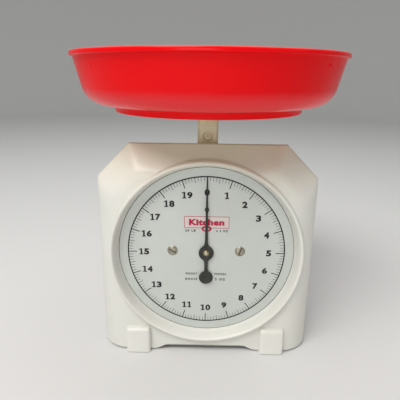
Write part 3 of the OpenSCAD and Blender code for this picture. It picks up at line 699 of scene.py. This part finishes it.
# %% Pan
lean_deg = 13.8
curve_r = 20
pan_wall = WALL / MM
top = pan_high.z / MM
floor = pan_floor_z / MM
lip_r = pan_high.x / MM
wall_r = lip_r - 2.6
wall_rise = top - 3.8 - floor - curve_r
curve_x = wall_r - wall_rise * math.tan(math.radians(lean_deg)) - curve_r / math.cos(math.radians(lean_deg))
under = [(0, floor), (80.5, floor), (81.3, floor - 0.3), (81.45, floor - 5.7), (81.8, floor - 6),
         (83.5, floor - 6), (83.9, floor - 5.6), (84.1, floor - 0.7), (84.3, floor - 0.2), (84.8, floor)]
under += arc((curve_x, floor + curve_r), curve_r, -90, -lean_deg, 14)[1:]
lip = [(wall_r, top - 4.1), (wall_r + 0.35, top - 3.85), (lip_r - 0.7, top - 3.8)]
lip += arc((lip_r - 0.9, top - 2.9), 0.9, -90, 0, 3)[1:] + arc((lip_r - 1.6, top - 1.6), 1.6, 0, 90, 5)
lip += [(wall_r - 1.2, top), (wall_r - 2.0, top - 0.5)]
inner = list(reversed(arc((curve_x, floor + curve_r), curve_r - pan_wall, -90, -lean_deg, 14)))
inner.append((0, floor + pan_wall))
bm = bmesh.new()
turn_outline(bm, scaled(under + lip + inner), (0, 0, 0), (0, 0, 1), steps=128)
pip_drop, pip_sink, pip_r = 10.2, 1.0, 1.9
pip_reach = wall_r - (pip_drop - 4.1) * math.tan(math.radians(lean_deg)) - pip_sink
for turn in (-48, 48, 180):
    angle = math.radians(turn - 90)
    spot = Vector((math.cos(angle) * pip_reach, math.sin(angle) * pip_reach, top - pip_drop)) * MM
    pip = bmesh.ops.create_uvsphere(bm, u_segments=12, v_segments=8, radius=pip_r * MM)["verts"]
    bmesh.ops.translate(bm, verts=pip, vec=spot)
place_piece("pan", bm, "bowl", red, ["bowl"], sharp=40)

# %% [markdown]
# ## The post's screw
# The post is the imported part, with its crease and its round recess. The screw in the recess has a
# domed head with a small dimple, turned like every round piece.

# %% Post screw in a sunken ring
screw_low, screw_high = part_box("post_screw")
bm = bmesh.new()
head = [(0, 0.9), (0.9, 0.9), (1.05, 0.5), (1.2, 0.15), (2.4, 0.0), (3.3, 0.08), (3.7, 0.35),
        (3.8, 1.4), (0, 1.4)]
turn_outline(bm, scaled(head), (0, screw_low.y, (screw_low.z + screw_high.z) / 2), (0, 1, 0), steps=48)
place_piece("post_screw_head", bm, "column", yellowed, ["post_screw"], sharp=40)

# %% [markdown]
# ## The dial
# The dial is a printed sheet of satin metal under the lens. Its print is black ink with a real
# thickness, far too thin to feel, so each mark is a flat plate that stands a little off the sheet.

# %% Marks on the dial
INK = 0.06 * MM
DIVISIONS = 160
POUNDS = 20
circle_r = 69.34 * MM


def on_dial(bm, made, turn_angle=0, spot=(0, 0)):
    """Puts flat shapes drawn in X and Z about the origin onto the dial."""
    bmesh.ops.rotate(bm, verts=made, cent=(0, 0, 0), matrix=Matrix.Rotation(turn_angle, 3, "Y"))
    bmesh.ops.translate(bm, verts=made, vec=(spot[0], dial_y - INK / 2, dial_z + spot[1]))


def flat_bar(bm, width, height, spot, turn_angle=0, middle=(0, 0)):
    made = bmesh.ops.create_cube(bm, size=1)["verts"]
    bmesh.ops.scale(bm, verts=made, vec=(width, INK, height))
    bmesh.ops.translate(bm, verts=made, vec=(spot[0], 0, spot[1]))
    on_dial(bm, made, turn_angle, middle)
    return made


def flat_ring(bm, inner_r, outer_r, steps=160, squeeze=(1, 1), spot=(0, 0)):
    """A flat ring: two edges of a small square outline, turned about the dial's axis."""
    before = set(bm.verts)
    half = INK / 2
    outline = [(inner_r, -half), (outer_r, -half), (outer_r, half), (inner_r, half), (inner_r, -half)]
    turn_outline(bm, outline, (0, 0, 0), (0, 1, 0), steps=steps)
    made = [v for v in bm.verts if v not in before]
    bmesh.ops.scale(bm, verts=made, vec=(squeeze[0], 1, squeeze[1]))
    on_dial(bm, made, 0, spot)
    return made


bm = bmesh.new()
flat_ring(bm, circle_r - 0.5 * MM, circle_r + 0.6 * MM)
for step in range(DIVISIONS):
    pound = step % (DIVISIONS // POUNDS) == 0
    half = step % (DIVISIONS // POUNDS) == DIVISIONS // POUNDS // 2
    length = (7.6 if pound else 5.0 if half else 3.9) * MM
    width = (0.75 if pound else 0.42 if half else 0.34) * MM
    flat_bar(bm, width, length, (0, circle_r - length / 2), 2 * math.pi * step / DIVISIONS)
place_piece("dial_print", bm, "case", ink_black)

# %% [markdown]
# The numerals are plain bold slab figures, one for each pound. Blender's own letters give the
# shapes; they're made into meshes first, then widened and put in their places round the dial.

# %% Numerals and small words
def add_letters(bm, words, height, width, spot, bold=0.0, spacing=1.0):
    """Adds flat letters as a closed mesh. height and width in metres; spot is the middle."""
    curve = bpy.data.curves.new("letters", "FONT")
    curve.body = words
    curve.align_x = "CENTER"
    curve.align_y = "CENTER"
    curve.size = 1
    curve.offset = bold
    curve.space_character = spacing
    curve.resolution_u = 4
    curve.extrude = 0.5
    holder = bpy.data.objects.new("letters", curve)
    bpy.context.scene.collection.objects.link(holder)
    shape = holder.evaluated_get(bpy.context.evaluated_depsgraph_get())
    mesh = bpy.data.meshes.new_from_object(shape)
    bpy.data.objects.remove(holder)
    bpy.data.curves.remove(curve)
    letters = bmesh.new()
    letters.from_mesh(mesh)
    bpy.data.meshes.remove(mesh)
    bmesh.ops.remove_doubles(letters, verts=letters.verts, dist=0.0005)
    low = [min(v.co[i] for v in letters.verts) for i in range(3)]
    high = [max(v.co[i] for v in letters.verts) for i in range(3)]
    middle = Vector([(a + b) / 2 for a, b in zip(low, high)])
    bmesh.ops.translate(letters, verts=letters.verts, vec=-middle)
    wanted = (width / (high[0] - low[0]), height / (high[1] - low[1]), INK / (high[2] - low[2]))
    bmesh.ops.scale(letters, verts=letters.verts, vec=wanted)
    upright = Matrix.Rotation(math.pi / 2, 3, "X")
    bmesh.ops.rotate(letters, verts=letters.verts, cent=(0, 0, 0), matrix=upright)
    bmesh.ops.translate(letters, verts=letters.verts, vec=(spot[0], dial_y - INK / 2, dial_z + spot[1]))
    scratch = bpy.data.meshes.new("scratch")
    letters.to_mesh(scratch)
    letters.free()
    bm.from_mesh(scratch)
    bpy.data.meshes.remove(scratch)


def slab_one(bm, height, spot):
    """A bold figure 1: an upright bar, a foot and a short flag."""
    bar_w, foot_w, foot_h, flag_w = 0.26 * height, 0.60 * height, 0.15 * height, 0.24 * height
    flat_bar(bm, bar_w, height, (0, 0), 0, spot)
    for side in (-1, 1):
        place = (side * (foot_w + bar_w) / 4, (foot_h - height) / 2)
        flat_bar(bm, (foot_w - bar_w) / 2, foot_h, place, 0, spot)
    flat_bar(bm, flag_w, foot_h, (-(bar_w + flag_w) / 2, height / 2 - foot_h), 0, spot)


bm = bmesh.new()
numeral_r = 55.5 * MM
tall, digit_w, digit_step = 5.9 * MM, 4.6 * MM, 4.7 * MM
for pound in range(POUNDS):
    angle = 2 * math.pi * pound / POUNDS
    spot = Vector((numeral_r * math.sin(angle), numeral_r * math.cos(angle)))
    digits = str(pound)
    for place, digit in enumerate(digits):
        shift = Vector(((place - (len(digits) - 1) / 2) * digit_step, 0))
        if digit == "1":
            slab_one(bm, tall, spot + shift)
        else:
            add_letters(bm, digit, tall, digit_w, spot + shift, bold=0.05)
place_piece("numerals", bm, "case", ink_black)

# %% Small words under the shaft and by the badge
bm = bmesh.new()
for words, height, width, spot in (
        ("WEIGHT", 2.2, 10.6, (-13.2, -21.1)), ("POUNDS", 2.2, 10.4, (13.0, -21.1)),
        ("EACH", 2.2, 10.4, (-13.4, -26.4)), ("2 OZ", 2.2, 9.3, (13.0, -26.4)),
        ("20 LB", 2.2, 9.2, (-14.2, 20.6)), ("x 2 OZ", 2.2, 10.6, (13.6, 20.6))):
    add_letters(bm, words, height * MM, width * MM, (spot[0] * MM, spot[1] * MM), bold=0.045, spacing=1.45)
place_piece("small_words", bm, "case", ink_black)

# %% [markdown]
# Above the shaft the dial carries a red plaque with an oval under it. The plaque is a plain one: a
# thin frame round a word for where the scale is used, on a pale ground of its own.

# %% Red plaque and oval
bm = bmesh.new()
plaque_mid, plaque_w, plaque_h = 28.4 * MM, 39 * MM, 10.4 * MM
frame_line = 0.45 * MM
oval_mid = 22.4 * MM
for side in (-1, 1):
    flat_bar(bm, plaque_w, frame_line, (0, plaque_mid + side * plaque_h / 2))
for side in (-1, 1):
    flat_bar(bm, frame_line, plaque_h - frame_line, (side * plaque_w / 2, plaque_mid))
add_letters(bm, "Kitchen", 6.0 * MM, 31 * MM, (0, plaque_mid), bold=0.06, spacing=1.08)
flat_ring(bm, 1.75 * MM, 3.1 * MM, steps=48, squeeze=(1.45, 0.9), spot=(0, oval_mid))
place_piece("plaque_print", bm, "case", ink_red)

bm = bmesh.new()
made = bmesh.ops.create_cube(bm, size=1)["verts"]
bmesh.ops.scale(bm, verts=made, vec=(plaque_w - 1 * MM, INK * 0.4, plaque_h - 1 * MM))
bmesh.ops.translate(bm, verts=made, vec=(0, dial_y - INK * 0.2, dial_z + plaque_mid))
place_piece("plaque_ground", bm, "case", pale_pink)

# %% [markdown]
# ## Needle and boss
# The needle is stamped from thin sheet: a taper with a bead near its middle, a teardrop hub, a neck
# and a round weight. The hub swells softly, so its outline is a chain of widths that is mirrored.

# %% Needle
needle_low, needle_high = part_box("pointer")
needle_y = needle_low.y
needle_t = needle_high.y - needle_low.y
needle_len = needle_high.z - dial_z
weight_mid, weight_r, bead_mid = 23.8, 6.3, 40.5
widths = [(-weight_mid - weight_r - 0.05, 0.01)]
widths += arc((-weight_mid, 0), weight_r, 165, 15, 10)
widths += [(-16.5, 1.75), (-12, 1.6), (-9.4, 1.65), (-7.6, 2.0), (-6.5, 2.8), (-5.6, 4.0), (-4.4, 5.2),
           (-2.6, 6.25), (-0.8, 6.7), (0.8, 6.7), (2.6, 6.25), (4.4, 5.2), (5.6, 4.0), (6.6, 2.7),
           (7.8, 1.9), (10, 1.45), (14, 1.3), (38.4, 0.95), (39.2, 1.5), (bead_mid, 1.95), (41.8, 1.5),
           (42.6, 0.9), (needle_len / MM, 0.55)]
bm = bmesh.new()
left = [bm.verts.new((-w * MM, needle_y, dial_z + z * MM)) for z, w in widths]
edges = [bm.edges.new(pair) for pair in zip(left, left[1:])]
right = bmesh.ops.duplicate(bm, geom=left + edges)["geom"]
right_verts = [g for g in right if isinstance(g, bmesh.types.BMVert)]
right_edges = [g for g in right if isinstance(g, bmesh.types.BMEdge)]
bmesh.ops.scale(bm, verts=right_verts, vec=(-1, 1, 1))
bmesh.ops.bridge_loops(bm, edges=edges + right_edges)
bmesh.ops.solidify(bm, geom=bm.faces, thickness=needle_t * 0.9)
lowest = min(v.co.y for v in bm.verts)
bmesh.ops.translate(bm, verts=bm.verts, vec=(0, needle_y - lowest + 0.02 * MM, 0))
bead = bmesh.ops.create_uvsphere(bm, u_segments=20, v_segments=10, radius=1)["verts"]
bmesh.ops.scale(bm, verts=bead, vec=(1.9 * MM, 0.45 * MM, 1.9 * MM))
bmesh.ops.translate(bm, verts=bead, vec=(0, needle_y + 0.46 * MM, dial_z + bead_mid * MM))
place_piece("needle", bm, "pointer", needle_black, ["pointer"], sharp=40)

# %% Boss
boss_low, boss_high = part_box("pointer_boss")
bm = bmesh.new()
front = boss_low.y
dome = [(0, 0), (0.55, 0.02), (0.62, 0.12), (1.2, 0.14), (1.9, 0.28), (2.45, 0.6), (2.75, 1.0), (2.8, 1.3)]
boss_deep = (boss_high.y - front) / MM
outline = scaled(dome + [(1.8, 1.3), (1.8, boss_deep), (0, boss_deep)])
turn_outline(bm, outline, (0, front, dial_z), (0, 1, 0), steps=40)
place_piece("needle_boss", bm, "pointer", brass, ["pointer_boss"], sharp=35)

# %% [markdown]
# The two dial screws hold the dial on its plate. They're round-headed and tarnished, and their slots
# stopped where the last turn left them.

# %% Dial screws
screws_low, screws_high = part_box("dial_screws")
head_r, slot_half = 4.7 * MM, 0.55 * MM
screw_x = screws_high.x - head_r
screw_z = (screws_low.z + screws_high.z) / 2
SLOT_TILTS = ((-1, -30), (1, 72))
head = [(0, 0), (2.0, 0.08), (3.2, 0.26), (4.1, 0.6), (4.55, 0.95), (4.65, 1.2), (1.5, 1.2), (1.5, 2.4),
        (0, 2.4)]
bm = bmesh.new()
for side, tilt in SLOT_TILTS:
    before = set(bm.verts)
    turn_outline(bm, scaled(head), (0, 0, 0), (0, 1, 0), steps=40)
    for line in (-slot_half, slot_half):
        geom = [g for g in list(bm.verts) + list(bm.edges) + list(bm.faces)
                if before.isdisjoint([g] if isinstance(g, bmesh.types.BMVert) else g.verts)]
        bmesh.ops.bisect_plane(bm, geom=geom, plane_co=(0, 0, line), plane_no=(0, 0, 1))
    slot_faces = [f for f in bm.faces if before.isdisjoint(f.verts)
                  and abs(f.calc_center_median().z) < slot_half and f.calc_center_median().y < 0.95 * MM]
    dug = bmesh.ops.extrude_face_region(bm, geom=slot_faces)["geom"]
    bottom = [g for g in dug if isinstance(g, bmesh.types.BMVert)]
    bmesh.ops.translate(bm, verts=bottom, vec=(0, slot_half, 0))
    bmesh.ops.delete(bm, geom=[f for f in slot_faces if f.is_valid], context="FACES_ONLY")
    made = [v for v in bm.verts if v not in before]
    turned = Matrix.Rotation(math.radians(-tilt), 3, "Y")
    bmesh.ops.rotate(bm, verts=made, cent=(0, 0, 0), matrix=turned)
    bmesh.ops.translate(bm, verts=made, vec=(side * screw_x, screws_low.y, screw_z))
place_piece("dial_screw_heads", bm, "case", nickel, ["dial_screws"], sharp=35)

# %% [markdown]
# A dark bar in each screw's slot paints the shade there, and a ragged ring in the seam round the dial is
# brown dirt with painted shade.

# %% Painted shade in the slots, dirt and painted shade in the seam
seam_r = 77.9 * MM
# painted shade: a dark bar in each screw's slot
bm = bmesh.new()
for side, tilt in SLOT_TILTS:
    made = bmesh.ops.create_cube(bm, size=1)["verts"]
    bmesh.ops.scale(bm, verts=made, vec=(7.4 * MM, 0.25 * MM, 0.95 * MM))
    turned = Matrix.Rotation(math.radians(-tilt), 3, "Y")
    bmesh.ops.rotate(bm, verts=made, cent=(0, 0, 0), matrix=turned)
    bmesh.ops.translate(bm, verts=made, vec=(side * screw_x, screws_low.y + 0.37 * MM, screw_z))
place_piece("slot_painted_shade", bm, "case", slot_shade_paint)
# a ragged ring of dirt and painted shade in the seam round the dial
bm = bmesh.new()
flat_ring(bm, seam_r - 0.42 * MM, seam_r, steps=128)
place_piece("seam_dirt_and_painted_shade", bm, "case", seam_dirt_and_shade)

# %% [markdown]
# ## Lens and springs
# The lens is a turned disc. The ring under it is the CAD part, which already has its true slope.

# %% Lens
lens_low, lens_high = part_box("lens")
lens_r = 79.1 * MM
bm = bmesh.new()
lens_t = lens_high.y - lens_low.y
outline = [(0, 0), (lens_r - 0.5 * MM, 0), (lens_r, 0.5 * MM), (lens_r, lens_t), (0, lens_t)]
turn_outline(bm, outline, (0, lens_low.y, dial_z), (0, 1, 0), steps=128)
place_piece("lens_disc", bm, "case", clear, ["lens"], sharp=40)

# %% [markdown]
# The springs are wound steel wire. A short round outline spun upwards round the spring's axis gives
# the coil, which stays where it is made.

# %% Springs
COIL_TURNS, TURN_STEPS = 12, 20
wire_r = 0.7 * MM
for label in ("left", "right"):
    spring_low, spring_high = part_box(f"{label}_spring")
    middle = (spring_low + spring_high) / 2
    coil_r = (spring_high.x - spring_low.x) / 2 - wire_r
    bm = bmesh.new()
    wire = bmesh.ops.create_circle(bm, cap_ends=True, radius=wire_r * 0.98, segments=8)
    wire_start = (middle.x + coil_r, middle.y, spring_low.z + wire_r)
    bmesh.ops.rotate(bm, verts=wire["verts"], cent=(0, 0, 0), matrix=Matrix.Rotation(math.pi / 2, 3, "X"))
    bmesh.ops.translate(bm, verts=wire["verts"], vec=wire_start)
    rise = spring_high.z - spring_low.z - 2 * wire_r
    steps = COIL_TURNS * TURN_STEPS
    bmesh.ops.spin(bm, geom=list(bm.faces), cent=(middle.x, middle.y, 0), axis=(0, 0, 1),
                   dvec=(0, 0, rise / steps), angle=2 * math.pi * COIL_TURNS, steps=steps,
                   use_merge=False, use_duplicate=False)
    spring = place_piece(f"{label}_coil", bm, None, steel, [f"{label}_spring"], sharp=50)
    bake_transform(spring)

# %% [markdown]
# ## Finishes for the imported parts
# The plates, pins, screws and gears stay as they were designed, and take their finish here. Each
# keeps its own mesh.

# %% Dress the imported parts
by_finish = {
    "brass": brass, "steel": steel, "painted_base": base_paint, "black_rubber": rubber,
    "black_plastic": knob_black, "cream_plastic": cream, "dial_metal": silver, "aged_nickel": nickel,
    "post_plastic": yellowed, "red_plastic": red, "pointer_black": needle_black, "clear_lens": clear,
}
slot_of = {row["node"]: row["material_slot"] for row in frame["record"]["subparts"]}
for name, part in frame["nodes"].items():
    part.data.materials.clear()
    part.data.materials.append(by_finish[slot_of[name]])
print("finishes on", len(frame["nodes"]), "packed parts")

# %% [markdown]
# ## Floor, light and camera
# The floor curves up all round, far from the scale, so it ends in no visible line. One broad lamp
# above and to the left lights the case from over the pan, a low one in front reaches the post, a weak
# one fills from the right, and one above and behind lights the inside of the pan.

# %% Floor
bm = bmesh.new()
flat_r, cove_r, wall_top = 2.2, 1.0, 1.7
FLOOR_PALE = (0.66, 0.66, 0.65, 1)
floor_line = [(0, 0)] + arc((flat_r, cove_r), cove_r, -90, 0, 16) + [(flat_r + cove_r, wall_top)]
turn_outline(bm, floor_line, (0, 0, 0), (0, 0, 1), steps=96)
bmesh.ops.recalc_face_normals(bm, faces=bm.faces)
mesh = bpy.data.meshes.new("floor")
bm.to_mesh(mesh)
bm.free()
mesh.shade_smooth()
floor = bpy.data.objects.new("floor", mesh)
bpy.context.scene.collection.objects.link(floor)
pale = bpy.data.materials.new("pale floor")
pale.use_nodes = True
fill(pale.node_tree.nodes["Principled BSDF"], {"Base Color": FLOOR_PALE, "Roughness": 0.7})
mesh.materials.append(pale)

# %% Lights
world = bpy.data.worlds.new("studio")
bpy.context.scene.world = world
world.use_nodes = True
sky = world.node_tree.nodes["Background"]
fill(sky, {"Color": (0.98, 0.985, 1, 1), "Strength": 0.34})


def area_lamp(name, place, aim, size, power, colour=(1, 1, 1)):
    lamp = bpy.data.lights.new(name, "AREA")
    lamp.shape = "RECTANGLE"
    lamp.size, lamp.size_y = size
    lamp.energy = power
    lamp.color = colour
    holder = bpy.data.objects.new(name, lamp)
    holder.location = place
    holder.rotation_euler = (Vector(aim) - Vector(place)).to_track_quat("-Z", "Y").to_euler()
    bpy.context.scene.collection.objects.link(holder)
    return holder


area_lamp("key", (-0.5, -0.8, 1.5), (0, -0.02, 0.12), (0.9, 0.8), 22, (1, 0.99, 0.965))
area_lamp("front", (-0.3, -1.9, 0.3), (0, 0, 0.15), (1.0, 0.5), 7, (1, 0.99, 0.97))
area_lamp("fill", (1.4, -0.9, 0.7), (0, 0, 0.12), (1.2, 1.2), 1.2, (1, 0.93, 0.84))
area_lamp("top", (0.1, 0.35, 1.5), (0, 0, 0.2), (1.4, 1.0), 7)

# %% [markdown]
# The camera stands in front, a little above the dial, and looks slightly down. It leans by less than
# a degree.

# %% Camera
camera_data = bpy.data.cameras.new("camera")
camera_data.lens = 37.565
camera_data.sensor_width = 36
camera_data.clip_start = 0.02
camera = bpy.data.objects.new("camera", camera_data)
camera.location = (-1.6 * MM, -392.2 * MM, 249.0 * MM)
pitch, yaw, roll = math.radians(16.953), math.radians(0.748), math.radians(0.659)
turn = Matrix.Rotation(yaw, 4, "Z") @ Matrix.Rotation(math.pi / 2 - pitch, 4, "X")
camera.rotation_euler = (turn @ Matrix.Rotation(roll, 4, "Z")).to_euler()
bpy.context.scene.collection.objects.link(camera)
bpy.context.scene.camera = camera
bpy.context.scene.view_settings.view_transform = "Standard"
print("camera set")
